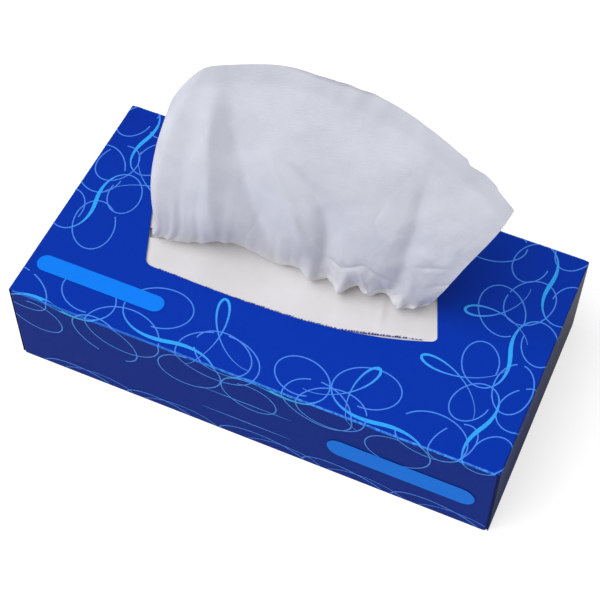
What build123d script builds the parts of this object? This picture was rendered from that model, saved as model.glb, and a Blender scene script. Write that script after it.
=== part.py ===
from build123d import *
from math import atan2, cos, exp, hypot, pi, radians, sin, tan
import os

os.makedirs("parts", exist_ok=True)

# All sizes are in millimetres. The origin is the middle of the carton's base,
# X runs along the carton, -Y is its front and +Z is up.

# Carton: outside size, board and creases
box_length = 230.0
box_width = 120.0
box_height = 50.0
board = 0.5
crease_radius = 0.4  # inside radius of each crease
glue_flap = 15.0  # height of the seam flap behind the back panel
dust_flap = 46.0  # how far each dust flap reaches across the end
side_inset = 0.7  # the outer end flap is cut this much narrower on each side
inner_inset = 0.5  # the flap under it is narrower again by this much
edge_gap = 0.4  # gap between a flap's free edge and the crease it meets

# Opening torn out of the top panel, a skewed leaf, the same when turned half round
opening_x = -5.0
opening_front = [(-61.0, -22.8), (-15.0, -23.2), (30.0, -20.3), (73.0, -8.6)]
blunt_corner = 5.0
sharp_corner = 2.5

# Film glued under the top panel, with the slit that grips the sheets
film = 0.15
film_margin = 14.0  # glued border round the opening
slit_x = -4.0
slit_y = 2.5
slit_tilt = 5.0  # degrees from the carton's length
slit_half_length = 76.0
slit_half_width = 7.5

# Stack of interfolded sheets, each folded in half across its length
stack_end_gap = 8.5  # to the end flaps
stack_side_gap = 5.0  # to the front and back panels
stack_spread = 4.0  # the folds do not lie exactly over each other
stack_head_room = 2.6  # from the stack to the film
stack_fold_radius = 4.0  # rounded folds along the front and back

# Sheet that stands up out of the slit
sheet = 0.8  # two plies with their crumples
rise = 107.0  # top of the sheet above the film
foot_right = 56.5  # ends of the gathered foot, along X
foot_left = -60.0
right_spread = 32.0  # how far the fan opens past the foot at its right end
left_spread = 6.7  # and at its left turn, half way up
left_tuck = 16.3  # how far the left turn leans in again at the top
lean = 23.7  # how far the top leans to the back
swing = 11.6  # how much less the top's right end leans
swing_start = 20.0  # X where this begins
swing_length = 70.0
hollow = 7.0  # how far the sheet bows to the front half way up
belly = 2.1  # how much further its middle bows out
belly_x = 20.0
belly_width = 35.0
foot_turn = 3.4  # radius of the turn at the left edge
top_turn = 8.4
back_lap = 34.0  # length of the part that is turned round behind
lap_fall = 3.4  # how steeply the free edge falls on its way round the turn

# How fast each of these grows with the height, as powers of its share
right_power = 1.2
left_power = 0.75
tuck_power = 3.0
lean_power = 1.3
swing_power = 1.5
hollow_power = 0.6
turn_power = 0.8

# Folds of the sheet: x at the foot, x at the top, depth (minus is a ridge), half width
folds = [
    (-38.0, -49.0, -2.6, 12.0),
    (-10.0, -42.0, 3.0, 12.0),
    (11.0, -2.0, 1.8, 13.0),
]
fold_foot = 0.12  # a fold's share of its life that is over at the foot, and at the top
fold_top = 1.02
fold_fade = 0.8  # power with which it fades at both
fold_narrow = 0.8  # its width at the foot, and how much that grows up to the top
fold_widen = 0.5
fine_steps = 80  # short steps across the front, before points are spaced evenly
turn_steps = 12
section_points = 20  # points along one level of the sheet
rounding = 1e-6  # so that the last point of a level is not missed
levels = [0.3, 0.65, 1.02]  # shares of the rise

# Free edge of the sheet: distance below the top at places along X
top_edge = [
    (-88.0, 48.0),
    (-62.0, 23.0),
    (-38.0, 7.4),
    (-16.0, 1.2),
    (8.0, 0.2),
    (40.0, 4.3),
    (62.0, 9.9),
    (78.0, 16.6),
    (96.0, 31.0),
]

film_top = box_height - board
film_base = film_top - film
stack_base = board
stack_top = film_base - stack_head_room
crease_middle = crease_radius + board / 2
wrap_end = box_length / 2 - 2 * board - crease_radius - board  # where the end creases begin


def along_slit(x):
    """Y of the slit's middle line at x."""
    return slit_y + tan(radians(slit_tilt)) * (x - slit_x)


def bell(x, middle, width):
    """Smooth bump of height 1."""
    return exp(-(((x - middle) / width) ** 2))


def sheet_point(share, level):
    """Point on the front of the standing sheet, from its right edge to its left turn."""
    up = min(max(level, 0.0), 1.0)
    right = foot_right + right_spread * sin(pi / 2 * up) ** right_power
    left = foot_left - left_spread * sin(pi * up**left_power) + left_tuck * up**tuck_power
    x = right + (left - right) * share
    leaning = lean - swing * max(0.0, (x - swing_start) / swing_length) ** swing_power
    y = along_slit(x) * (1 - up**lean_power) + leaning * up**lean_power - foot_turn
    y -= (hollow + belly * bell(x, belly_x, belly_width)) * sin(pi * up**hollow_power)
    life = sin(pi * min(1.0, fold_foot + (fold_top - fold_foot) * up)) ** fold_fade
    for foot_x, top_x, depth, width in folds:
        middle_x = foot_x + (top_x - foot_x) * up
        y += depth * life * bell(x, middle_x, width * (fold_narrow + fold_widen * up))
    return x, y


def sheet_path(level):
    """Line of the sheet's outer face at one level, round the left turn and along the back lap."""
    path = [sheet_point(i / fine_steps, level) for i in range(fine_steps + 1)]
    turn = foot_turn + (top_turn - foot_turn) * max(level, 0.0) ** turn_power
    x, y = path[-1]
    heading = atan2(y - path[-2][1], x - path[-2][0]) % (2 * pi)
    for step in range(turn_steps):
        angle = heading * (1 - (step + 0.5) / turn_steps)
        x += turn * heading / turn_steps * cos(angle)
        y += turn * heading / turn_steps * sin(angle)
        path.append((x, y))
    path.append((x + back_lap, y))
    return path


def evenly_spaced(path, count):
    """Points at even distances along a path, each with the direction of the path there."""
    spans = [hypot(b[0] - a[0], b[1] - a[1]) for a, b in zip(path, path[1:])]
    step = sum(spans) / (count - 1)
    placed = []
    walked = 0.0
    for (x, y), (next_x, next_y), span in zip(path, path[1:], spans):
        while len(placed) < count and len(placed) * step <= walked + span + rounding:
            share = (len(placed) * step - walked) / span
            angle = atan2(next_y - y, next_x - x)
            placed.append((x + (next_x - x) * share, y + (next_y - y) * share, angle))
        walked += span
    return placed


# Carton: the wrap of four panels, its glued seam at the back and the folded ends
with BuildPart() as carton:
    with BuildSketch(Plane.YZ):
        back = box_width / 2
        middle = board / 2
        with BuildLine():
            FilletPolyline(
                (back - board - middle, board + glue_flap),
                (back - board - middle, middle),
                (-back + middle, middle),
                (-back + middle, box_height / 2),
                radius=crease_middle,
            )
        trace(line_width=board)
        with BuildLine():
            FilletPolyline(
                (-back + middle, box_height / 2),
                (-back + middle, box_height - middle),
                (back - middle, box_height - middle),
                (back - middle, edge_gap),
                radius=crease_middle,
            )
        trace(line_width=board)
    extrude(amount=wrap_end, both=True)

    # outer flap, folded down from the top panel
    with BuildSketch(Plane.XZ):
        with BuildLine():
            FilletPolyline(
                (wrap_end - board, box_height - middle),
                (box_length / 2 - middle, box_height - middle),
                (box_length / 2 - middle, edge_gap),
                radius=crease_middle,
            )
        trace(line_width=board)
        mirror(about=Plane.YZ)
    extrude(amount=box_width / 2 - side_inset, both=True)

    # flap under it, folded up from the base
    with BuildSketch(Plane.XZ):
        with BuildLine():
            FilletPolyline(
                (wrap_end - board, middle),
                (box_length / 2 - board - middle, middle),
                (box_length / 2 - board - middle, box_height - board - edge_gap),
                radius=crease_middle,
            )
        trace(line_width=board)
        mirror(about=Plane.YZ)
    extrude(amount=box_width / 2 - side_inset - inner_inset, both=True)

    # dust flaps, folded in from the front and back panels
    with BuildSketch(Plane.XY.offset(box_height / 2)):
        with BuildLine():
            FilletPolyline(
                (wrap_end - board, -box_width / 2 + middle),
                (box_length / 2 - 2 * board - middle, -box_width / 2 + middle),
                (box_length / 2 - 2 * board - middle, -box_width / 2 + dust_flap),
                radius=crease_middle,
            )
        trace(line_width=board)
        mirror(about=Plane.YZ)
        mirror(about=Plane.XZ)
    extrude(amount=box_height / 2 - board - edge_gap, both=True)

    # opening in the top panel
    with BuildSketch(Plane.XY.offset(box_height)) as opening:
        with BuildLine():
            front_edge = Spline(*[(opening_x + x, y) for x, y in opening_front])
            back_edge = Spline(*[(opening_x - x, -y) for x, y in opening_front])
            Line(front_edge @ 1, back_edge @ 0)
            Line(back_edge @ 1, front_edge @ 0)
        make_face()
        corners = opening.vertices().sort_by(Axis.Y)
        fillet([corners[0], corners[-1]], blunt_corner)
        corners = opening.vertices().sort_by(Axis.X)
        fillet([corners[0], corners[-1]], sharp_corner)
    extrude(amount=-board, mode=Mode.SUBTRACT)

# Film glued under the top panel, open along the slit
opening_half_length = opening_front[-1][0]
opening_half_width = -opening_front[0][1]
with BuildPart() as window_film:
    with BuildSketch(Plane.XY.offset(film_base)):
        with Locations((opening_x, 0)):
            Rectangle(2 * (opening_half_length + film_margin), 2 * (opening_half_width + film_margin))
        with Locations(Location((slit_x, slit_y), slit_tilt)):
            Ellipse(slit_half_length, slit_half_width, mode=Mode.SUBTRACT)
    extrude(amount=film)

# Stack of interfolded sheets on the carton's floor
sheet_width = box_length - 2 * (3 * board + stack_end_gap)
folded_length = box_width - 2 * (board + stack_side_gap) - stack_spread
with BuildPart() as tissue_stack:
    with BuildSketch(Plane.XY.offset(stack_base)):
        Rectangle(sheet_width, folded_length + stack_spread)
    extrude(amount=stack_top - stack_base)
    fillet(tissue_stack.edges().filter_by(Axis.X), stack_fold_radius)

# Sheet that stands up out of the slit, gathered at its foot and turned round at the left,
# with its other half still flat on the stack
foot_level = (stack_top - film_top) / rise
even_steps = [i / (section_points - 1) for i in range(section_points)]
with BuildPart() as top_tissue:
    for level in [foot_level] + levels:
        placed = evenly_spaced(sheet_path(level), section_points)
        outside = [(x, y) for x, y, angle in placed]
        inside = [(x + sheet * sin(angle), y - sheet * cos(angle)) for x, y, angle in placed]
        outer_line = Edge.make_spline(outside, parameters=even_steps)
        inner_line = Edge.make_spline(inside, parameters=even_steps)
        with BuildSketch(Plane.XY.offset(film_top + rise * level)):
            with BuildLine():
                add([outer_line, inner_line])
                Line(outer_line @ 0, inner_line @ 0)
                Line(outer_line @ 1, inner_line @ 1)
            make_face()
    loft()
    with BuildSketch(Plane.XZ):
        with BuildLine():
            edge = Spline(*[(x, film_top + rise - drop) for x, drop in top_edge])
            Polyline(edge @ 1, (top_edge[-1][0], 0), (top_edge[0][0], 0), edge @ 0)
        make_face()
    extrude(amount=box_width, both=True, mode=Mode.INTERSECT)

    # the free edge falls on its way round to the back
    lap_start = lean - foot_turn + 2 * sheet
    lap_end = lean + 2 * top_turn
    with BuildSketch(Plane.YZ):
        with BuildLine():
            Polyline(
                (lap_start, film_top + rise),
                (lap_end, film_top + rise - lap_fall * (lap_end - lap_start)),
                (lap_end, film_top + 2 * rise),
                (lap_start, film_top + 2 * rise),
                close=True,
            )
        make_face()
    extrude(amount=box_length, both=True, mode=Mode.SUBTRACT)

    # the other half, still lying on the stack
    with BuildSketch(Plane.XY.offset(stack_top)):
        Rectangle(sheet_width, folded_length)
    extrude(amount=sheet)

carton.part.label = "carton"
window_film.part.label = "window_film"
tissue_stack.part.label = "tissue_stack"
top_tissue.part.label = "top_tissue"

export_step(carton.part, "parts/carton.step")
export_step(window_film.part, "parts/window_film.step")
export_step(tissue_stack.part, "parts/tissue_stack.step")
export_step(top_tissue.part, "parts/top_tissue.step")
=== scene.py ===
"""Looks of the tissue box: printed carton, slit film and the sheet that stands up out of it."""

import math
import random

import bpy
import numpy as np
from mathutils import Matrix, Vector


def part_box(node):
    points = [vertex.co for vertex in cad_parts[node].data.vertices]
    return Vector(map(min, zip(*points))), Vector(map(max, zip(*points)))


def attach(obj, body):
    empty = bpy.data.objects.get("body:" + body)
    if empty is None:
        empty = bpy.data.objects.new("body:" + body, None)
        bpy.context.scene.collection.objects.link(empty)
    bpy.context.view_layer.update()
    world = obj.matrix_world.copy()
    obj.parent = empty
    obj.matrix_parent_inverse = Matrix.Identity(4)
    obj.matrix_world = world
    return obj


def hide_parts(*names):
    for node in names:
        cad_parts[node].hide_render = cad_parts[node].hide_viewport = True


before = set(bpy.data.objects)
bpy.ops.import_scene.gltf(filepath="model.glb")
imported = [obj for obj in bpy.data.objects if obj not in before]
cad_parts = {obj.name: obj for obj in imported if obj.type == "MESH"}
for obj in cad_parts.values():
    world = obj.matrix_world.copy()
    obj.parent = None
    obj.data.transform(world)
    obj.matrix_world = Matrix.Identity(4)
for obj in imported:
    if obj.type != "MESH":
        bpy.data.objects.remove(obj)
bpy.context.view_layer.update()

MM = 0.001

# Sizes in millimetres, read from the frame where it has them
carton_low, carton_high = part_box("carton")
LENGTH = (carton_high.x - carton_low.x) / MM
WIDTH = (carton_high.y - carton_low.y) / MM
HEIGHT = (carton_high.z - carton_low.z) / MM
HALF_LENGTH, HALF_WIDTH = LENGTH / 2, WIDTH / 2
BOARD = 0.5  # thickness of the carton's board
CREASE = 0.9  # outside radius of the creases
FILM_TOP = HEIGHT - BOARD
film_low, film_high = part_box("window_film")
_, stack_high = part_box("tissue_stack")
STACK_TOP = stack_high.z / MM

# Opening in the top panel, and the slit in the film under it
OPENING_X = -5.0
OPENING_FRONT = [(-61.0, -22.8), (-15.0, -23.2), (30.0, -20.3), (73.0, -8.6)]
SLIT_X, SLIT_Y, SLIT_TILT = -4.0, 2.5, math.radians(5.0)
SLIT_HALF_LENGTH, SLIT_HALF_WIDTH = 76.0, 6.5

# Sheet that stands up out of the slit
RISE = 107.0  # height over the film from which TOP_EDGE is measured down
FOOT_RIGHT, FOOT_LEFT = 56.5, -60.0  # ends of its front at the slit
RIGHT_SPREAD, LEFT_SPREAD, LEFT_TUCK = 33.2, 5.1, 16.5  # how the ends run out and in on the way up
LEAN, SWING, SWING_START, SWING_LENGTH = 23.7, 11.6, 20.0, 70.0  # lean to the back, less at the right
BOW, BELLY, BELLY_X, BELLY_WIDTH = 7.0, 2.1, 20.0, 35.0  # bulge of the front, fuller at one place
FOOT_TURN, TOP_TURN, BACK_LAP = 3.4, 8.4, 34.0  # radius of the left turn, and length of the lap
LAP_FALL, LAP_SLOW, LAP_QUICK = 2.2, 1.5, 4.0  # fall of the turned part's edge, and where it slows
FRONT_SHARE = 0.653  # share of the sheet's columns past which the turned part begins
SHEET_ROWS, SHEET_COLUMNS = 170, 290
SHEET_RUN = 195.0  # length along which the crumples are laid out
BURIED = 0.8  # height over the stack at which the standing half starts
SEAT_ROWS, SEAT_COLUMNS = 12, 24  # half that still lies on the stack
SEAT_HALF_WIDTH, SEAT_HALF_LENGTH = 52.0, 104.5
FILM_ROWS, FILM_COLUMNS = 44, 200

# Free edge of the sheet: X, and distance below the top
TOP_EDGE = [
    (-88.0, 46.0),
    (-62.0, 19.5),
    (-50.0, 10.6),
    (-38.0, 6.0),
    (-22.0, 1.0),
    (0.0, -1.6),
    (20.0, -0.9),
    (40.0, 2.6),
    (60.0, 7.9),
    (76.0, 13.2),
    (90.0, 22.6),
    (96.0, 28.0),
]

# Line where the sheet meets the film in front: X, Y
HEM = [
    (-72.0, -9.5),
    (-60.0, -5.4),
    (-49.0, -0.4),
    (-41.0, 5.2),
    (-32.0, 6.4),
    (-21.0, 4.0),
    (-10.0, 0.9),
    (0.0, 3.8),
    (5.7, -0.8),
    (12.5, 4.1),
    (20.5, 0.7),
    (24.0, 7.2),
    (32.5, 4.4),
    (36.5, 10.2),
    (40.0, 8.6),
    (45.5, 2.4),
    (51.0, 5.8),
    (56.0, 10.4),
    (66.0, 7.5),
]

# Long folds of the sheet: heights, X at each, depth at each (minus is a ridge), and how far
# the fold reaches to its left and to its right
FOLDS = [
    (
        (52, 70, 95, 120, 146),
        (-36.5, -38.5, -42.0, -45.0, -48.5),
        (-1.4, -2.6, -2.8, -2.2, -0.8),
        7.0,
        4.5,
    ),
    ((50, 80, 108, 146), (-8.0, -18.7, -30.0, -40.0), (2.4, 3.4, 2.8, 0.8), 6.0, 9.0),
    ((70, 80, 95, 111, 122), (6.0, 2.5, -3.2, -13.3, -19.0), (0.0, -1.2, -1.6, -0.9, 0.0), 6.0, 2.6),
    ((50, 75, 96, 108, 118), (8.6, 11.5, 10.0, 2.6, -9.0), (2.2, 3.6, 2.8, 1.5, 0.0), 3.4, 8.0),
    ((56, 68, 105, 132, 144), (44.0, 45.0, 49.0, 51.0, 52.5), (0.0, 1.2, 1.5, 0.8, 0.0), 3.4, 6.5),
    ((52, 80, 110, 140), (-70.0, -64.0, -58.0, -53.0), (1.2, 1.6, 1.2, 0.4), 4.5, 4.5),
]

# Short sharp creases: start and end as X and height, depth, half width
CREASES = [
    ((-3.5, 95.0), (8.0, 80.0), 0.7, 0.9),
    ((12.5, 72.5), (20.0, 70.0), 0.7, 1.1),
    ((20.0, 70.0), (30.0, 77.5), 0.6, 1.0),
    ((30.0, 77.5), (45.0, 68.0), 0.7, 1.1),
    ((52.0, 84.0), (66.0, 90.0), 0.4, 1.2),
    ((58.0, 74.0), (70.0, 82.0), 0.4, 1.2),
    ((-26.0, 66.0), (-18.0, 88.0), 0.3, 1.5),
    ((30.0, 96.0), (36.0, 118.0), 0.3, 1.6),
    ((20.5, 51.0), (17.5, 68.0), -0.9, 1.0),
    ((27.0, 54.0), (24.0, 70.0), 0.6, 0.9),
    ((33.0, 52.0), (29.0, 72.0), -0.9, 1.0),
    ((40.0, 54.0), (38.0, 70.0), 0.6, 0.9),
    ((46.0, 52.0), (43.0, 64.0), -0.7, 0.9),
    ((52.0, 53.0), (57.0, 64.0), -0.5, 0.9),
]

# Camera of the photograph
CAMERA_PLACE = (0.159633, -0.374109, 0.609697)
CAMERA_AZIMUTH = 23.1629
CAMERA_ELEVATION = 54.9150
CAMERA_ROLL = 0.7445
CAMERA_LENS = 93.3814
CAMERA_SENSOR = 36.0

# Stage in metres, and lights
STAGE_RADIUS, STAGE_HEIGHT, STAGE_SIDES = 3.0, 2.0, 96
FLOOR_REFLECTANCE, FLOOR_GLOW = 0.5, 0.66
WALL_REFLECTANCE, WALL_GLOW = 0.3, 1.0
WORLD_COLOR, WORLD_STRENGTH = (1.0, 0.99, 0.97), 0.52
KEY_ENERGY, KEY_ANGLE, KEY_DIRECTION = 2.5, math.radians(66), (-0.62, -0.62, 1.0)

# Bare labels on the flat drawing: X, Y, length, height
LABEL_TOP = (-79.3, -40.5, 62.5, 8.6)
LABEL_FRONT = (72.8, -HALF_WIDTH - 26.5, 68.0, 12.0)
LABEL_LIFT = 0.28  # over every stroke
BASE_MARGIN = 1.2  # the print stops this far above the base
RING_DROP = 26.0  # the rings stop this far below the top

# Linear colours
INK = (0.0, 0.033, 0.41)
INK_DARK = (0.001, 0.018, 0.30)
# painted shade: the side panels' ink is darker than the top's, for the light that falls less on them
INK_SIDE_PAINTED_SHADE = (0.0, 0.024, 0.28)
# right end panel: dark painted shade, and a grey painted reflection of the pale floor towards its back
INK_END_PAINTED_SHADE = (0.012, 0.028, 0.19)
INK_END_FAR_PAINTED_REFLECTION = (0.13, 0.13, 0.19)
# near black painted shade in the gap between the end flaps
END_GAP_PAINTED_SHADE = (0.001, 0.002, 0.008)
# light line along the front crease: print with a painted highlight
CREASE_PRINT_AND_HIGHLIGHT = (0.05, 0.30, 0.95)
INK_ROUGHNESS = 0.36
RAW_BOARD = (0.62, 0.61, 0.60)
RAW_BOARD_DARK = (0.5, 0.49, 0.48)
LINE_FAINT, LINE_BRIGHT = (0.08, 0.23, 0.88), (0.03, 0.42, 1.0)
SIDE_LINE_FAINT, SIDE_LINE_BRIGHT = (0.10, 0.30, 0.98), (0.05, 0.52, 1.0)
LABEL_PALE, LABEL_DEEP = (0.001, 0.215, 0.94), (0.0, 0.15, 0.8)
# near black pieces that paint the shade in the notches of the torn perforation
NICK_SHADE_DARK, NICK_SHADE_PALE = (0.004, 0.005, 0.012), (0.03, 0.035, 0.06)
FILM_PALE, FILM_DULL = (0.745, 0.725, 0.745), (0.69, 0.67, 0.68)
TISSUE_PALE, TISSUE_DULL = (0.73, 0.745, 0.83), (0.675, 0.695, 0.775)
# fibre specks, and painted shade of the curled free edge
TISSUE_SPECK, TISSUE_EDGE_PAINTED_SHADE = (0.62, 0.64, 0.72), (0.60, 0.62, 0.70)
# painted light: a paler, warmer foot that lifts its shade and cancels the blue bounce light from the
# carton
TISSUE_FOOT_PAINTED_LIGHT = (0.80, 0.80, 0.78)


# Shader helpers


def new_material(name, color, roughness, specular):
    """Material with one Principled shader. Returns it with its nodes, links and shader."""
    material = bpy.data.materials.new(name)
    material.use_nodes = True
    nodes, links = material.node_tree.nodes, material.node_tree.links
    shader = nodes["Principled BSDF"]
    shader.inputs["Base Color"].default_value = (*color, 1)
    shader.inputs["Roughness"].default_value = roughness
    shader.inputs["Specular IOR Level"].default_value = specular
    return material, nodes, links, shader


def calculate(nodes, links, operation, first, second=None, third=None):
    """Math node whose inputs are sockets or plain numbers. Returns its output."""
    node = nodes.new("ShaderNodeMath")
    node.operation = operation
    for slot, value in enumerate((first, second, third)):
        if isinstance(value, (int, float)):
            node.inputs[slot].default_value = value
        elif value is not None:
            links.new(value, node.inputs[slot])
    return node.outputs[0]


def ramp(nodes, links, value, low, high):
    """Smooth step of a value from 0 at low to 1 at high."""
    node = nodes.new("ShaderNodeMapRange")
    node.interpolation_type = "SMOOTHSTEP"
    links.new(value, node.inputs["Value"])
    node.inputs["From Min"].default_value = low
    node.inputs["From Max"].default_value = high
    return node.outputs["Result"]


def noise(nodes, links, vector, scale, detail=3.0, roughness=0.5):
    """Noise texture over a vector. Returns its value."""
    node = nodes.new("ShaderNodeTexNoise")
    node.inputs["Scale"].default_value = scale
    node.inputs["Detail"].default_value = detail
    node.inputs["Roughness"].default_value = roughness
    links.new(vector, node.inputs["Vector"])
    return node.outputs["Fac"]


def blend(nodes, links, factor, first, second):
    """Mix of two colours, each a socket or a triple."""
    node = nodes.new("ShaderNodeMix")
    node.data_type = "RGBA"
    links.new(factor, node.inputs[0])
    for slot, value in ((6, first), (7, second)):
        if isinstance(value, tuple):
            node.inputs[slot].default_value = (*value, 1)
        else:
            links.new(value, node.inputs[slot])
    return node.outputs[2]


def bump(nodes, links, shader, height, distance, strength):
    """Fine relief of a shader, from a height socket."""
    node = nodes.new("ShaderNodeBump")
    node.inputs["Distance"].default_value = distance
    node.inputs["Strength"].default_value = strength
    links.new(height, node.inputs["Height"])
    links.new(node.outputs["Normal"], shader.inputs["Normal"])


def position(nodes):
    """World position."""
    return nodes.new("ShaderNodeNewGeometry").outputs["Position"]


def parts_of(nodes, links, vector):
    """X, Y and Z of a vector socket."""
    node = nodes.new("ShaderNodeSeparateXYZ")
    links.new(vector, node.inputs[0])
    return node.outputs


def board_material():
    """Blue printed board outside, raw board on its cut edges and inside."""
    material, nodes, links, shader = new_material("printed_board", INK, INK_ROUGHNESS, 0.09)
    place = position(nodes)
    x, y, z = parts_of(nodes, links, place)

    def depth(value, half):
        return calculate(nodes, links, "SUBTRACT", half, calculate(nodes, links, "ABSOLUTE", value))

    def smallest(first, second):
        return calculate(nodes, links, "MINIMUM", first, second)

    side = depth(y, HALF_WIDTH * MM)
    end = depth(x, HALF_LENGTH * MM)
    top = calculate(nodes, links, "SUBTRACT", HEIGHT * MM, z)
    nearest = smallest(smallest(side, end), smallest(top, z))

    # cut edges lie deeper under the outer planes than the print, except in the creases
    raw = ramp(nodes, links, nearest, 0.05 * MM, 0.12 * MM)
    at_crease = calculate(nodes, links, "ADD", side, top)
    near_crease = calculate(nodes, links, "LESS_THAN", at_crease, 1.2 * MM)
    at_end = calculate(nodes, links, "ADD", end, smallest(top, side))
    near_end = calculate(nodes, links, "LESS_THAN", at_end, 2.4 * MM)
    printed = calculate(nodes, links, "MAXIMUM", near_crease, near_end)
    raw = calculate(nodes, links, "MULTIPLY", raw, calculate(nodes, links, "SUBTRACT", 1.0, printed))

    # darker in soft clouds towards the back left; darker on the side and end panels as painted shade
    cloudy = ramp(nodes, links, noise(nodes, links, place, 14.0, 2.0), 0.35, 0.7)
    left = ramp(nodes, links, calculate(nodes, links, "MULTIPLY", x, -1.0), 0.02, 0.115)
    back = ramp(nodes, links, y, -0.02, 0.05)
    dark = calculate(nodes, links, "MULTIPLY", calculate(nodes, links, "MULTIPLY", left, back), cloudy)
    ink = blend(nodes, links, calculate(nodes, links, "MULTIPLY", dark, 0.7), INK, INK_DARK)
    ink = blend(nodes, links, ramp(nodes, links, top, 0.2 * MM, 0.9 * MM), ink, INK_SIDE_PAINTED_SHADE)
    on_end = calculate(nodes, links, "SUBTRACT", 1.0, ramp(nodes, links, end, 0.1 * MM, 1.0 * MM))
    on_end = calculate(nodes, links, "MULTIPLY", on_end, ramp(nodes, links, top, 0.3 * MM, 1.0 * MM))
    # the right end panel fades to grey towards the back: a painted reflection of the pale floor over
    # its painted shade
    far, right = ramp(nodes, links, y, -0.03, 0.07), ramp(nodes, links, x, 0.0, 0.01)
    painted_reflection = calculate(nodes, links, "MULTIPLY", far, right)
    end_ink_painted_light = blend(nodes, links, painted_reflection, INK_END_PAINTED_SHADE, INK_END_FAR_PAINTED_REFLECTION)
    # near black band along the end panel's front edge: painted shade in the gap between the flaps
    gap_painted_shade = ramp(nodes, links, side, 2.2 * MM, 0.3 * MM)
    end_ink_painted_light = blend(nodes, links, gap_painted_shade, end_ink_painted_light, END_GAP_PAINTED_SHADE)
    ink = blend(nodes, links, on_end, ink, end_ink_painted_light)

    # a light broken line along the front crease, more to the right: print with a painted highlight of
    # the crease
    line = ramp(nodes, links, at_crease, 0.88 * MM, 0.62 * MM)
    flecks = ramp(nodes, links, noise(nodes, links, place, 420.0, 3.0), 0.40, 0.60)
    print_and_highlight = calculate(nodes, links, "MULTIPLY", ramp(nodes, links, x, -0.10, 0.06), flecks)
    print_and_highlight = calculate(nodes, links, "MULTIPLY_ADD", print_and_highlight, 0.65, 0.32)
    ink = blend(nodes, links, calculate(nodes, links, "MULTIPLY", line, print_and_highlight), ink, CREASE_PRINT_AND_HIGHLIGHT)

    fibres = noise(nodes, links, place, 2600.0, 4.0)
    board = blend(nodes, links, fibres, RAW_BOARD_DARK, RAW_BOARD)
    links.new(blend(nodes, links, raw, ink, board), shader.inputs["Base Color"])
    roughness = calculate(nodes, links, "MULTIPLY_ADD", raw, 0.5, INK_ROUGHNESS)
    links.new(roughness, shader.inputs["Roughness"])
    bump(nodes, links, shader, noise(nodes, links, place, 900.0, 2.0), 0.05 * MM, 0.25)
    return material


def print_material():
    """Line ink from faint to bright, by each stroke's own weight, and paler on the sides."""
    base = (0.1, 0.25, 0.85)
    material, nodes, links, shader = new_material("printed_lines", base, INK_ROUGHNESS, 0.14)
    place = position(nodes)
    ink = nodes.new("ShaderNodeAttribute")
    ink.attribute_name = "ink"
    top = calculate(nodes, links, "SUBTRACT", HEIGHT * MM, parts_of(nodes, links, place)[2])
    on_side = ramp(nodes, links, top, 0.0, 1.0 * MM)
    on_top = blend(nodes, links, ink.outputs["Fac"], LINE_FAINT, LINE_BRIGHT)
    below = blend(nodes, links, ink.outputs["Fac"], SIDE_LINE_FAINT, SIDE_LINE_BRIGHT)
    color = blend(nodes, links, on_side, on_top, below)
    grain = ramp(nodes, links, noise(nodes, links, place, 900.0, 2.0), 0.3, 0.7)
    shade = calculate(nodes, links, "MULTIPLY", grain, 0.15)
    links.new(blend(nodes, links, shade, color, INK), shader.inputs["Base Color"])
    return material


def label_material():
    """Flat lighter blue of the two bare labels."""
    material, nodes, links, shader = new_material("label_ink", (0.001, 0.21, 0.93), INK_ROUGHNESS, 0.14)
    grain = ramp(nodes, links, noise(nodes, links, position(nodes), 500.0, 3.0), 0.3, 0.75)
    shade = calculate(nodes, links, "MULTIPLY", grain, 0.12)
    links.new(blend(nodes, links, shade, LABEL_PALE, LABEL_DEEP), shader.inputs["Base Color"])
    return material


def nick_shade_material():
    """Dark painted shade in the gaps between the torn teeth of the perforation."""
    material, nodes, links, shader = new_material("perforation_painted_shade", (0.01, 0.012, 0.03), 0.8, 0.1)
    grain = noise(nodes, links, position(nodes), 1500.0, 2.0)
    links.new(blend(nodes, links, grain, NICK_SHADE_DARK, NICK_SHADE_PALE), shader.inputs["Base Color"])
    return material


def film_material():
    """Milky film with a soft gloss."""
    material, nodes, links, shader = new_material("white_film", (0.72, 0.70, 0.715), 0.42, 0.2)
    place = position(nodes)
    cloud = ramp(nodes, links, noise(nodes, links, place, 55.0, 4.0), 0.3, 0.75)
    links.new(blend(nodes, links, cloud, FILM_PALE, FILM_DULL), shader.inputs["Base Color"])
    bump(nodes, links, shader, noise(nodes, links, place, 160.0, 3.0), 0.3 * MM, 0.15)
    return material


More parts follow.
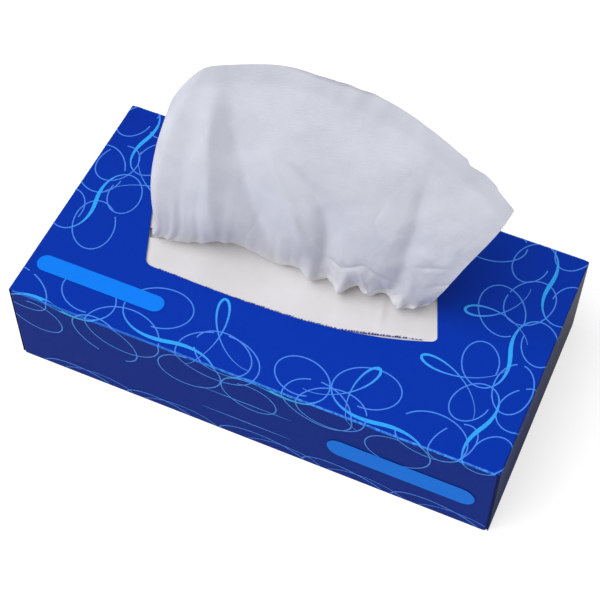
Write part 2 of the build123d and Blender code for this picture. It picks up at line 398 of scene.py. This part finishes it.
def tissue_material():
    """Soft creped paper with fine fibres, a little darker along the free edge: painted shade where it
    curls up.
    """
    material, nodes, links, shader = new_material("tissue_paper", (0.76, 0.78, 0.85), 0.95, 0.1)
    shader.inputs["Sheen Weight"].default_value = 0.12
    shader.inputs["Sheen Roughness"].default_value = 0.6
    place = nodes.new("ShaderNodeTexCoord").outputs["Object"]
    cloud = ramp(nodes, links, noise(nodes, links, place, 70.0, 5.0, 0.6), 0.3, 0.75)
    fibre = noise(nodes, links, place, 2200.0, 3.0, 0.7)
    color = blend(nodes, links, cloud, TISSUE_PALE, TISSUE_DULL)
    speck = calculate(nodes, links, "MULTIPLY", ramp(nodes, links, fibre, 0.55, 0.8), 0.10)
    color = blend(nodes, links, speck, color, TISSUE_SPECK)
    # painted shade along the curled free edge
    edge_painted_shade = nodes.new("ShaderNodeAttribute")
    edge_painted_shade.attribute_name = "edge_painted_shade"
    band = calculate(nodes, links, "MULTIPLY", edge_painted_shade.outputs["Fac"], 0.45)
    color = blend(nodes, links, band, color, TISSUE_EDGE_PAINTED_SHADE)
    # the gathered foot is painted paler and warmer, close to the ivory film: painted light that lifts
    # its shade and cancels the blue light thrown up from the carton
    height = parts_of(nodes, links, place)[2]
    foot = calculate(nodes, links, "MULTIPLY", ramp(nodes, links, height, 0.100, 0.052), 0.7)
    links.new(blend(nodes, links, foot, color, TISSUE_FOOT_PAINTED_LIGHT), shader.inputs["Base Color"])
    crepe = nodes.new("ShaderNodeTexWave")
    crepe.bands_direction = "Z"
    crepe.inputs["Scale"].default_value = 420.0
    crepe.inputs["Distortion"].default_value = 9.0
    crepe.inputs["Detail"].default_value = 3.0
    links.new(place, crepe.inputs["Vector"])
    relief = calculate(nodes, links, "MULTIPLY_ADD", fibre, 0.6, crepe.outputs["Fac"])
    wrinkles = noise(nodes, links, place, 190.0, 5.0, 0.6)
    relief = calculate(nodes, links, "MULTIPLY_ADD", wrinkles, 2.5, relief)
    bump(nodes, links, shader, relief, 0.2 * MM, 0.22)
    return material


def seen_as_white(name, reflectance, glow):
    """Pale stage surface that also glows a little for the camera alone."""
    material, nodes, links, shader = new_material(name, (reflectance,) * 3, 0.9, 0.0)
    emission = nodes.new("ShaderNodeEmission")
    path = nodes.new("ShaderNodeLightPath")
    seen = path.outputs["Is Camera Ray"]
    links.new(calculate(nodes, links, "MULTIPLY", seen, glow), emission.inputs["Strength"])
    add = nodes.new("ShaderNodeAddShader")
    links.new(shader.outputs[0], add.inputs[0])
    links.new(emission.outputs[0], add.inputs[1])
    links.new(add.outputs[0], nodes["Material Output"].inputs["Surface"])
    return material


# Mesh helpers


def mesh_piece(name, points, faces, material, smooth=True):
    """Mesh object from points in millimetres, riding on the one body."""
    mesh = bpy.data.meshes.new(name)
    mesh.from_pydata((np.asarray(points, float) * MM).tolist(), [], faces)
    if smooth:
        mesh.shade_smooth()
    piece = bpy.data.objects.new(name, mesh)
    bpy.context.scene.collection.objects.link(piece)
    mesh.materials.append(material)
    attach(piece, "root")
    return piece


def grid_faces(rows, columns, first=0):
    """Quads of a grid of rows by columns points."""
    faces = []
    for r in range(rows - 1):
        for c in range(columns - 1):
            corner = first + r * columns + c
            faces.append((corner, corner + 1, corner + columns + 1, corner + columns))
    return faces


def smooth_curve(places, values, at):
    """Smooth curve through a few values, as an array."""
    places, values = np.asarray(places, float), np.asarray(values, float)
    at = np.clip(np.asarray(at, float), places[0], places[-1])
    slopes = np.gradient(values, places)
    i = np.clip(np.searchsorted(places, at) - 1, 0, len(places) - 2)
    span = places[i + 1] - places[i]
    t = (at - places[i]) / span
    return (
        (2 * t**3 - 3 * t**2 + 1) * values[i]
        + (t**3 - 2 * t**2 + t) * span * slopes[i]
        + (3 * t**2 - 2 * t**3) * values[i + 1]
        + (t**3 - t**2) * span * slopes[i + 1]
    )


def curve_through(pairs, at):
    """Smooth curve through pairs of place and value."""
    return smooth_curve([p[0] for p in pairs], [p[1] for p in pairs], at)


def step(low, high, value):
    """Smooth step in numpy."""
    t = np.clip((value - low) / (high - low), 0, 1)
    return t * t * (3 - 2 * t)


def bell(x, middle, width):
    """Smooth hump of height 1."""
    return np.exp(-(((x - middle) / width) ** 2))


def value_noise(u, v, scale_u, scale_v, seed):
    """Smooth random field from -1 to 1 over two coordinates."""
    size = 97
    table = np.random.default_rng(seed).uniform(-1, 1, (size, size))
    a, b = u / scale_u + size, v / scale_v + size
    i, j = np.floor(a).astype(int), np.floor(b).astype(int)
    a, b = a - i, b - j
    a, b = a**3 * (a * (a * 6 - 15) + 10), b**3 * (b * (b * 6 - 15) + 10)
    low = table[i % size, j % size] * (1 - a) + table[(i + 1) % size, j % size] * a
    high = table[i % size, (j + 1) % size] * (1 - a) + table[(i + 1) % size, (j + 1) % size] * a
    return low * (1 - b) + high * b


# Print on the carton: each drawing is laid out flat, with X and Y as on the top panel,
# and folds down over the panel's edges


def fold_down(distance, half, lift):
    """Outward place and drop of a point at a distance from the middle of the flat drawing."""
    start = half - CREASE
    over = distance - start
    bend = CREASE * math.pi / 2
    if over < bend:
        angle = over / CREASE
        reach = CREASE + lift
        return start + reach * math.sin(angle), CREASE - reach * math.cos(angle)
    return half + lift, CREASE + over - bend


def on_carton(x, y, lift):
    """Point of the flat drawing on the carton's outside, or None past a corner or the base."""
    past_y = abs(y) > HALF_WIDTH - CREASE
    past_x = abs(x) > HALF_LENGTH - CREASE
    lowest = HEIGHT - BASE_MARGIN
    if past_x and past_y:
        return None
    if past_y:
        place, drop = fold_down(abs(y), HALF_WIDTH, lift)
        return None if drop > lowest else (x, math.copysign(place, y), HEIGHT - drop)
    if past_x:
        place, drop = fold_down(abs(x), HALF_LENGTH, lift)
        return None if drop > lowest else (math.copysign(place, x), y, HEIGHT - drop)
    return (x, y, HEIGHT + lift)


def in_opening(x, y, margin):
    """Whether a point of the top panel lies in the opening or within a margin of it."""
    x = x - OPENING_X
    along = [p[0] for p in OPENING_FRONT]
    across = [p[1] for p in OPENING_FRONT]
    front = np.interp(x, along, across) - margin
    back = -np.interp(-x, along, across) + margin
    slant = (along[-1] + along[0]) / (across[-1] + across[0])
    end = abs(along[0] + slant * (y - across[0])) + margin
    return front < y < back and -end < x < end


class Drawing:
    """Collects strokes as one thin mesh. Lifts differ, so that crossing strokes share no plane."""

    LIFT_PER_STROKE, LIFT_ALONG = 0.0012, 0.02

    def __init__(self):
        self.points, self.faces, self.inks, self.strokes = [], [], [], 0

    def stroke(self, path, width, ink, lift=0.05, lowest=None):
        """Ribbon along a path. width and ink are numbers or functions of the share along it."""
        path = [Vector(p) for p in path]
        last = None
        self.strokes += 1
        start_lift = lift + self.LIFT_PER_STROKE * self.strokes
        for i, p in enumerate(path):
            share = i / (len(path) - 1)
            lift = start_lift + self.LIFT_ALONG * share
            way = path[min(i + 1, len(path) - 1)] - path[max(i - 1, 0)]
            across = Vector((-way.y, way.x)).normalized()
            half = (width(share) if callable(width) else width) / 2
            ends = [on_carton(q.x, q.y, lift) for q in (p + across * half, p - across * half)]
            shown = all(ends) and not in_opening(p.x, p.y, 1.0)
            if shown and lowest is not None:
                shown = ends[0][2] > lowest
            if not shown:
                last = None
                continue
            first = len(self.points)
            self.points += ends
            self.inks += [ink(share) if callable(ink) else ink] * 2
            if last is not None:
                self.faces.append((last, last + 1, first + 1, first))
            last = first

    def build(self, name, material):
        """The strokes as one piece, with each point's ink as an attribute."""
        piece = mesh_piece(name, self.points, self.faces, material)
        attribute = piece.data.attributes.new("ink", "FLOAT", "POINT")
        attribute.data.foreach_set("value", self.inks)
        return piece


def ring(x, y, long, short, tilt, start=0.0, turns=1.0):
    """Whole or part ring as a path."""
    count = max(24, int(turns * math.pi * (long + short) / 0.7))
    c, s = math.cos(tilt), math.sin(tilt)
    path = []
    for i in range(count + 1):
        a = 2 * math.pi * (start + turns * i / count)
        p, q = long * math.cos(a), short * math.sin(a)
        path.append((x + p * c - q * s, y + p * s + q * c))
    return path


def scroll(x, y, direction, reach, wind, side):
    """S stroke through a middle point whose two ends run on into wide oval loops."""
    count, stretch = 190, 1.35
    c, s = math.cos(direction), math.sin(direction)
    path = []
    for way in (-1, 1):
        arm = []
        along, across = 0.0, 0.0
        for i in range(count):
            turn = side * wind * ((i + 0.5) / count) ** 1.25
            along += way * stretch * reach / count * math.cos(turn)
            across += way * reach / count * math.sin(turn)
            arm.append((x + along * c - across * s, y + along * s + across * c))
        path = arm[::-1] + [(x, y)] if way < 0 else path + arm
    return path


def tall_loop(x, y, direction, length, spread):
    """Stroke that rises to a thin tall loop and runs down again on its other side."""
    c, s = math.cos(direction), math.sin(direction)
    path = []
    for i in range(121):
        t = i / 60 - 1
        along, across = length * (1 - t * t) ** 1.5, spread * (t**3 - 0.42 * t) / 0.58
        path.append((x + along * c - across * s, y + along * s + across * c))
    return path


def swelling(low, high, power=2.0):
    """Value that is high in the middle of a stroke and low at its ends."""
    return lambda share: low + (high - low) * math.sin(math.pi * share) ** power


def flourishes(material):
    """Scrolls with rings along all edges of the top, running over its edges."""
    drawing = Drawing()
    rng = random.Random(12)
    # middle, direction in degrees, length of each arm, how far it winds, side
    scrolls = [
        (-92, -60, -16, 76, 6.9, 1),
        (-38, -56, 12, 80, 6.5, -1),
        (12, -61, -14, 74, 7.1, 1),
        (60, -57, 10, 78, 6.6, -1),
        (100, -42, 62, 60, 6.7, 1),
        (99, -2, 108, 64, 6.9, -1),
        (103, 40, 80, 60, 6.4, 1),
        (56, 57, 172, 66, 6.7, 1),
        (4, 55, -164, 70, 6.9, -1),
        (-50, 58, 174, 66, 6.6, 1),
        (-99, 42, -108, 58, 6.6, 1),
        (-103, 0, -76, 62, 6.9, -1),
    ]
    for x, y, degrees, reach, wind, side in scrolls:
        angle = math.radians(degrees)
        path = scroll(x, y, angle, reach, wind, side)
        drawing.stroke(path, swelling(0.6, 1.9, 38), swelling(0.15, 1.0, 14), 0.07)
        for end in (-1, 1):
            away = end * reach * rng.uniform(0.24, 0.36)
            long = reach * rng.uniform(0.19, 0.24)
            path = ring(
                x + away * math.cos(angle) + rng.uniform(-4, 4),
                y + away * math.sin(angle) + rng.uniform(-5, 5),
                long,
                long * rng.uniform(0.60, 0.78),
                angle + rng.uniform(-0.3, 0.3),
                rng.random(),
                rng.uniform(0.85, 1.0),
            )
            drawing.stroke(path, 0.6, rng.uniform(0.05, 0.3), 0.06, HEIGHT - RING_DROP)
    # strokes with a thin tall loop that points inwards: place, direction in degrees, length
    for x, y, degrees, length in [
        (-14, -60, 108, 36),
        (38, -60, 66, 31),
        (98, -24, 170, 34),
        (100, 20, -164, 28),
        (-100, 20, -10, 33),
        (-24, 57, -74, 28),
    ]:
        loop = tall_loop(x, y, math.radians(degrees), length, 15.0)
        drawing.stroke(loop, swelling(0.35, 1.25), swelling(0.1, 0.9), 0.08)
    # arcs that rise from the base of the front and back panels
    for side in (-1, 1):
        base = side * (HALF_WIDTH + HEIGHT)
        for k in range(5):
            x = -84 + 45 * k + rng.uniform(-5, 5)
            tilt = side * rng.uniform(0.05, 0.25)
            arc = ring(x, base + side * 3, rng.uniform(18, 24), rng.uniform(9, 13), tilt)
            drawing.stroke(arc, 0.6, 0.1, 0.05)
            arc = ring(x + 8, base + side * 4, 21, 11, tilt + 0.2)
            drawing.stroke(arc, 0.45, 0.0, 0.06)
    return drawing.build("printed_flourishes", material)


def capsule_label(name, x, y, length, height, material, lift):
    """Bare label with round ends on the flat drawing, folded on to the carton."""
    across, along = 9, 64
    points = []
    for i in range(along + 1):
        u = -length / 2 * math.cos(math.pi * i / along)
        inside = max(0.0, abs(u) - (length / 2 - height / 2))
        half = math.sqrt(max((height / 2) ** 2 - inside**2, 0.0)) + 0.01
        for j in range(across):
            points.append(on_carton(x + u, y - half + 2 * half * j / (across - 1), lift))
    piece = mesh_piece(name, points, grid_faces(along + 1, across), material)
    return piece


def plain_rules(material):
    """Pair of thin straight rules in the middle of the front and back panels."""
    drawing = Drawing()
    for side in (-1, 1):
        for drop in (19.0, 35.0):
            y = side * (HALF_WIDTH + drop)
            path = [(u, y) for u in np.linspace(-22.0, 22.0, 60)]
            drawing.stroke(path, swelling(0.1, 0.6, 0.7), 0.35, 0.05)
    return drawing.build("printed_rules", material)


# Standing sheet


def along_slit(x):
    """Y of the slit's middle line at x."""
    return SLIT_Y + math.tan(SLIT_TILT) * (x - SLIT_X)


def sheet_front(share, up):
    """Front of the sheet at a level, from its right edge to its left turn, as arrays."""
    up = np.clip(up, 0, 1)
    right = FOOT_RIGHT + RIGHT_SPREAD * np.sin(np.pi / 2 * up) ** 1.2 - 2.1 * bell(up, 0.45, 0.24)
    left = FOOT_LEFT - LEFT_SPREAD * np.sin(np.pi * up**0.75) + LEFT_TUCK * up**3
    x = right + (left - right) * share
    leaning = LEAN - SWING * np.clip((x - SWING_START) / SWING_LENGTH, 0, None) ** 1.5
    y = along_slit(x) * (1 - up**1.3) + leaning * up**1.3 - FOOT_TURN
    y = y - (BOW + BELLY * bell(x, BELLY_X, BELLY_WIDTH)) * np.sin(np.pi * up**0.6)
    return x, y


def sheet_line(up, columns):
    """Points at even distances along one level: the front, the left turn and the back lap."""
    turn_steps = 40
    share = np.linspace(0, 1, 240)
    x, y = sheet_front(share, up)
    turn = FOOT_TURN + (TOP_TURN - FOOT_TURN) * max(up, 0.0) ** 0.8
    heading = math.atan2(y[-1] - y[-2], x[-1] - x[-2]) % (2 * math.pi)
    angles = heading * (1 - (np.arange(turn_steps) + 0.5) / turn_steps)
    turn_x = x[-1] + np.cumsum(turn * heading / turn_steps * np.cos(angles))
    turn_y = y[-1] + np.cumsum(turn * heading / turn_steps * np.sin(angles))
    path_x = np.concatenate([x, turn_x, [turn_x[-1] + BACK_LAP]])
    path_y = np.concatenate([y, turn_y, [turn_y[-1]]])
    run = np.concatenate([[0], np.cumsum(np.hypot(np.diff(path_x), np.diff(path_y)))])
    even = np.linspace(0, run[-1], columns)
    return np.interp(even, run, path_x), np.interp(even, run, path_y)


def free_edge(x, behind):
    """Height of the sheet's free edge. It falls on its way round to the back, fast at first."""
    drop = curve_through(TOP_EDGE, x)
    # small notches at the right
    drop = drop + 1.6 * step(64.5, 65.8, x) - 0.8 * step(67, 74, x) + 0.9 * step(78, 79.2, x)
    behind = np.clip(behind, 0, None)
    fall = np.minimum(behind, LAP_QUICK) * LAP_FALL + np.clip(behind - LAP_QUICK, 0, None) * LAP_SLOW
    return FILM_TOP + RISE - drop - fall


def sheet_grid(columns, rows):
    """Points of the standing half, rows by columns by 3, and the share of the height of each."""
    levels = np.linspace((STACK_TOP + BURIED - FILM_TOP) / RISE, 1.02, 150)
    lines = [sheet_line(up, columns) for up in levels]
    grid_x, grid_y = np.array([a[0] for a in lines]), np.array([a[1] for a in lines])
    heights = FILM_TOP + RISE * levels
    turned = np.linspace(0, 1, columns)[None, :] > FRONT_SHARE
    behind = (grid_y - np.array([sheet_front(1.0, up)[1] for up in levels])[:, None]) * turned
    room = free_edge(grid_x, behind) - heights[:, None]
    shares = np.linspace(0, 1, rows)
    points = np.zeros((rows, columns, 3))
    for c in range(columns):
        last = max(1, int(np.nonzero(room[:, c] >= 0)[0][-1]))
        ahead = min(last + 1, len(levels) - 1)
        gap = room[last, c] - room[ahead, c]
        top = heights[last] + (heights[ahead] - heights[last]) * (room[last, c] / gap if gap > 0 else 0)
        z = heights[0] + (top - heights[0]) * shares
        points[:, c, 0] = np.interp(z, heights, grid_x[:, c])
        points[:, c, 1] = np.interp(z, heights, grid_y[:, c])
        points[:, c, 2] = z
    return points, shares


def crease_depth(x, z, start, end, depth, width):
    """Narrow valley along a straight line."""
    way = np.subtract(end, start)
    t = np.clip(((x - start[0]) * way[0] + (z - start[1]) * way[1]) / (way @ way), 0, 1)
    away = np.hypot(x - start[0] - t * way[0], z - start[1] - t * way[1])
    return depth * np.exp(-np.abs(away) / width) * np.sin(np.pi * (0.1 + 0.8 * t))


def dress_sheet(points, shares):
    """Adds the folds, the hem's own line, the frill and the crumples to the plain sheet."""
    column = np.linspace(0, 1, points.shape[1])[None, :]
    front = 1 - step(0.64, 0.70, column)
    x, z = points[:, :, 0].copy(), points[:, :, 2].copy()
    foot_x = points[0, :, 0][None, :] + 0 * x
    v = z - FILM_TOP
    above = np.clip(v, 0, None)
    shift_y = np.zeros_like(x)
    for heights, places, depths, left, right in FOLDS:
        offset = x - smooth_curve(heights, places, z)
        depth = smooth_curve(heights, depths, z) * step(heights[0] - 8, heights[0] + 4, z)
        depth *= 1 - step(heights[-1], heights[-1] + 8, z)
        reach = np.where(offset < 0, left, right)
        shift_y += front * depth * np.exp(-(((np.sqrt(offset**2 + 0.64) - 0.8) / reach) ** 1.4))
    for start, end, depth, width in CREASES:
        shift_y += front * crease_depth(x, z, start, end, depth, width)
    # the foot follows the hem, and the frill puffs out over it
    spread = 7.0 * step(0.40, 0.66, column) * (1 - step(0.74, 0.84, column))
    own = curve_through(HEM, foot_x - spread) - (along_slit(foot_x) - FOOT_TURN)
    shift_y += front * own * np.exp(-((above / (15.0 - 4.5 * step(2, 14, foot_x))) ** 1.5))
    frill = step(0, 12, foot_x) * (1 - step(60, 68, foot_x))
    puff = (0.5 + 0.7 * frill) * bell(v, 5.0, 3.6) * (1 + 0.5 * value_noise(foot_x, v, 7, 30, 21))
    shift_y -= front * puff
    wide = 0.8 * value_noise(foot_x + 0.35 * v, v, 3.4, 9, 7)
    narrow = 0.5 * value_noise(foot_x - 0.5 * v, v, 1.8, 6, 8)
    shift_y += front * frill * (wide + narrow) * bell(v, 5.0, 7.5)
    # the turned lap stays behind the hem
    lap_foot = np.clip(curve_through(HEM, foot_x) + 2.2 - points[0, :, 1][None, :], 0, None)
    shift_y += step(0.72, 0.78, column) * lap_foot * np.exp(-((above / 22.0) ** 1.5))
    points[:, :, 1] += shift_y
    # the foot's left end spreads on the film
    points[:, :, 0] -= spread * np.exp(-((above / 9.0) ** 2)) * step(-4.0, -1.5, v)
    # pleats at the left of the foot, and crumples, along the sheet's normals
    normal = np.cross(np.gradient(points, axis=1), np.gradient(points, axis=0))
    normal /= np.linalg.norm(normal, axis=2, keepdims=True) + 1e-9
    u = column * SHEET_RUN + 0 * x
    warp = foot_x + 1.5 * value_noise(u, v, 12, 30, 3)
    pleats = 0.7 * np.sin(2 * np.pi * warp / 7.5) + 0.4 * np.sin(2 * np.pi * warp / 4.3 + 1.3)
    calm = 1 - 0.6 * step(-40, -15, foot_x)
    shift = 0.75 * calm * pleats * step(-1.0, 3.0, v) * np.exp(-above / 17.0)
    low_right = 0.35 + 1.0 * bell(x, 58, 34) * np.exp(-above / 70.0)
    shift += 0.45 * value_noise(u, v, 30, 38, 12)
    shift += low_right * 0.30 * value_noise(u + 0.4 * v, v, 9, 13, 13)
    shift += low_right * 0.14 * value_noise(u - 0.5 * v, v, 4.0, 5.5, 14)
    ridged = 1 - np.abs(value_noise(u + 0.25 * v, v, 14, 19, 15))
    shift += 0.08 * low_right * step(0.84, 1.0, ridged)
    edge = step(0.82, 1.0, shares)[:, None]
    shift += edge * (0.5 * value_noise(u, 0 * v, 13, 10, 17) + 0.2 * value_noise(u, 0 * v, 5, 10, 18))
    points += normal * (shift * step(-0.5, 5.0, v))[:, :, None]
    return points


def standing_sheet(material):
    """The sheet with its half that still lies folded on the stack."""
    points, shares = sheet_grid(SHEET_COLUMNS, SHEET_ROWS)
    below_edge = points[-1, :, 2][None, :] - points[:, :, 2]
    points = dress_sheet(points, shares)
    # band under the free edge that carries the painted shade
    edge_painted_shade = (1 - step(7.0, 11.0, below_edge)).reshape(-1)
    flat = points.reshape(-1, 3).tolist()
    faces = grid_faces(SHEET_ROWS, SHEET_COLUMNS)
    first = len(flat)
    for y in np.linspace(-SEAT_HALF_WIDTH, SEAT_HALF_WIDTH, SEAT_ROWS):
        for x in np.linspace(-SEAT_HALF_LENGTH, SEAT_HALF_LENGTH, SEAT_COLUMNS):
            flat.append((x, y, STACK_TOP + 0.5 + 0.15 * math.sin(x * 0.2) * math.cos(y * 0.15)))
    faces += grid_faces(SEAT_ROWS, SEAT_COLUMNS, first)
    piece = mesh_piece("standing_sheet", flat, faces, material)
    attribute = piece.data.attributes.new("edge_painted_shade", "FLOAT", "POINT")
    attribute.data.foreach_set("value", np.concatenate([edge_painted_shade, np.zeros(SEAT_ROWS * SEAT_COLUMNS)]))
    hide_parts("top_tissue")
    return piece


# Film


def slit_lips(x):
    """Y of the slit's front and back lips. The front one runs just in front of the sheet's hem."""
    half = SLIT_HALF_WIDTH * np.sqrt(np.clip(1 - ((x - SLIT_X) / SLIT_HALF_LENGTH) ** 2, 0, 1))
    half = half * (0.12 + 0.88 * step(FOOT_LEFT - 14, FOOT_LEFT - 4, x))
    held = step(FOOT_LEFT - 22, FOOT_LEFT - 10, x) * (1 - step(FOOT_RIGHT + 6, FOOT_RIGHT + 14, x))
    middle = along_slit(x)
    front = middle + (curve_through(HEM, x) + 0.9 - middle) * held
    lap_room = 2.4 * step(FOOT_LEFT - 6, FOOT_LEFT, x) * (1 - step(-30.0, -24.0, x))
    return front, np.maximum(middle + half, front + 0.2 + lap_room)


def slit_film(material):
    """The film in two fields, in front of and behind the slit, each with soft waves."""
    xs = np.linspace(film_low.x / MM + 0.5, film_high.x / MM - 0.5, FILM_COLUMNS)
    flat, faces = [], []
    front, back = slit_lips(xs)
    for side, edge, lip in ((-1, film_low.y / MM, front), (1, film_high.y / MM, back)):
        first = len(flat)
        for t in np.linspace(0, 1, FILM_ROWS):
            y = edge + (lip - edge) * t
            inside = step(0.35, 1.0, t) * step(-84, -58, xs) * step(76, 50, xs)
            wave = 0.5 * value_noise(xs, y, 18, 14, 41) + 0.25 * value_noise(xs, y, 7, 9, 42)
            crease = bell(xs + 0.25 * (y + 20), 44.0, 1.8) * (side < 0)
            z = FILM_TOP - 0.12 + inside * (0.35 * t**6 + 0.45 * wave - 0.5 + 0.7 * crease)
            flat += np.stack([xs, y, z], 1).tolist()
        faces += grid_faces(FILM_ROWS, FILM_COLUMNS, first)
    piece = mesh_piece("slit_film", flat, faces, material)
    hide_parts("window_film")
    return piece


def torn_perforation(board, nick_shade):
    """Small board teeth left along the front edge of the opening, with dark pieces between them that
    paint the shade in the notches.
    """
    rng = random.Random(23)
    teeth, teeth_faces, nick_shade_points, nick_shade_faces = [], [], [], []
    x = -54.0
    while x < 66.0:
        pitch = rng.uniform(0.9, 1.7)
        rough = 0.65 + 0.6 * float(step(-20, 30, x) * (1 - step(52, 66, x)))
        here, ahead = curve_through(OPENING_FRONT, [x, x + pitch]).tolist()
        reach = rng.uniform(0.4, 1.1) * rough
        wide = pitch * rng.uniform(0.45, 0.7)
        tip = (OPENING_X + x + wide * rng.uniform(0.1, 0.9), here + reach)
        a = len(teeth)
        for z in (FILM_TOP + 0.06, HEIGHT - 0.02):
            teeth.append((OPENING_X + x, here - 0.05, z))
            teeth.append((OPENING_X + x + wide, here + (ahead - here) * wide / pitch - 0.05, z))
            teeth.append((*tip, z))
        teeth_faces += [(a, a + 2, a + 1), (a + 3, a + 4, a + 5), (a, a + 1, a + 4, a + 3)]
        teeth_faces += [(a + 1, a + 2, a + 5, a + 4), (a + 2, a, a + 3, a + 5)]
        # dark pieces in the notches between the teeth paint their shade
        if rng.random() < 0.85:
            b = len(nick_shade_points)
            deep = rng.uniform(0.5, 1.1) * rough
            outline = ((-0.35, -0.1), (0.2, -0.1), (rng.uniform(0.0, 0.4), deep), (-0.25, deep * 0.8))
            for px, py in outline:
                nick_shade_points.append((OPENING_X + x + px, here + py, HEIGHT - 0.12 + 0.02 * rng.random()))
            nick_shade_faces.append((b, b + 1, b + 2, b + 3))
        x += pitch
    for name, points, faces, material in (
        ("torn_teeth", teeth, teeth_faces, board),
        ("torn_painted_shade", nick_shade_points, nick_shade_faces, nick_shade),
    ):
        piece = mesh_piece(name, points, faces, material, smooth=False)


# Stage, lights and camera


def build_stage():
    """Round white floor, and a white wall round it that keeps no light off the object."""
    count = STAGE_SIDES
    circle = []
    for i in range(count):
        angle = 2 * math.pi * i / count
        circle.append((STAGE_RADIUS * math.cos(angle), STAGE_RADIUS * math.sin(angle)))
    floor = bpy.data.meshes.new("floor")
    floor.from_pydata([(x, y, 0) for x, y in circle], [], [tuple(range(count))])
    floor.materials.append(seen_as_white("floor_white", FLOOR_REFLECTANCE, FLOOR_GLOW))
    wall = bpy.data.meshes.new("wall")
    corners = [(x, y, z) for z in (0, STAGE_HEIGHT) for x, y in circle]
    panels = [(i, (i + 1) % count, count + (i + 1) % count, count + i) for i in range(count)]
    wall.from_pydata(corners, [], panels)
    wall.materials.append(seen_as_white("wall_white", WALL_REFLECTANCE, WALL_GLOW))
    for mesh, casts_shadow in ((floor, True), (wall, False)):
        stage = bpy.data.objects.new(mesh.name, mesh)
        bpy.context.scene.collection.objects.link(stage)
        stage.visible_shadow = casts_shadow


def build_lights():
    """Even pale world and one wide soft sun from the front left."""
    world = bpy.data.worlds.new("studio")
    bpy.context.scene.world = world
    world.use_nodes = True
    background = world.node_tree.nodes["Background"]
    background.inputs["Color"].default_value = (*WORLD_COLOR, 1)
    background.inputs["Strength"].default_value = WORLD_STRENGTH
    light = bpy.data.lights.new("key", "SUN")
    light.energy = KEY_ENERGY
    light.angle = KEY_ANGLE
    key = bpy.data.objects.new("key", light)
    key.rotation_euler = Vector(KEY_DIRECTION).to_track_quat("Z", "Y").to_euler()
    bpy.context.scene.collection.objects.link(key)


def build_camera():
    """Camera at the photograph's place, turned by azimuth, elevation and roll."""
    data = bpy.data.cameras.new("camera")
    data.sensor_width = CAMERA_SENSOR
    data.lens = CAMERA_LENS
    camera = bpy.data.objects.new("camera", data)
    turn = (
        Matrix.Rotation(math.radians(CAMERA_AZIMUTH), 4, "Z")
        @ Matrix.Rotation(math.radians(90 - CAMERA_ELEVATION), 4, "X")
        @ Matrix.Rotation(math.radians(CAMERA_ROLL), 4, "Z")
    )
    camera.matrix_world = Matrix.Translation(CAMERA_PLACE) @ turn
    bpy.context.scene.collection.objects.link(camera)
    bpy.context.scene.camera = camera


def dress(node, material):
    """Material on all of a carried-over node."""
    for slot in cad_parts[node].material_slots:
        slot.material = material


def main():
    bpy.context.scene.view_settings.view_transform = "Standard"
    board, tissue = board_material(), tissue_material()
    dress("carton", board)
    dress("tissue_stack", tissue)
    lines, label = print_material(), label_material()
    flourishes(lines)
    plain_rules(lines)
    capsule_label("label_top", *LABEL_TOP, label, LABEL_LIFT)
    capsule_label("label_front", *LABEL_FRONT, label, LABEL_LIFT)
    slit_film(film_material())
    standing_sheet(tissue)
    torn_perforation(board, nick_shade_material())
    build_stage()
    build_lights()
    build_camera()


main()
